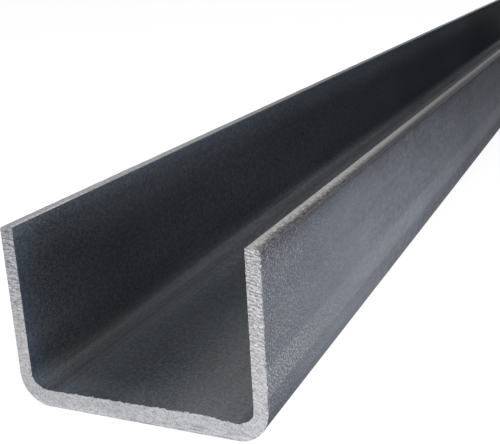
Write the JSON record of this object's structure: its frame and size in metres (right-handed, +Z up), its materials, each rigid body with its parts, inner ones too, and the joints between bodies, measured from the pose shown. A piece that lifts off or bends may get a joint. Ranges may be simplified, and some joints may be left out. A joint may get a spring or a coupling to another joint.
{
  "type": "steel channel",
  "caption": "Straight cold-formed steel U channel with equal flanges, rounded bends, slit flange edges and sawn ends, used as framing and fabrication stock.",
  "frame": {"origin": "underside of the web, on the middle plane between the flanges and at mid length", "axes": "+X across the web, +Y along the length, +Z up the flanges, away from the underside of the web"},
  "size_m": [0.072, 1, 0.05],
  "materials": {
    "mill_steel": "satin"
  },
  "bodies": {
    "root": {"channel": "mill_steel"}
  },
  "joints": []
}
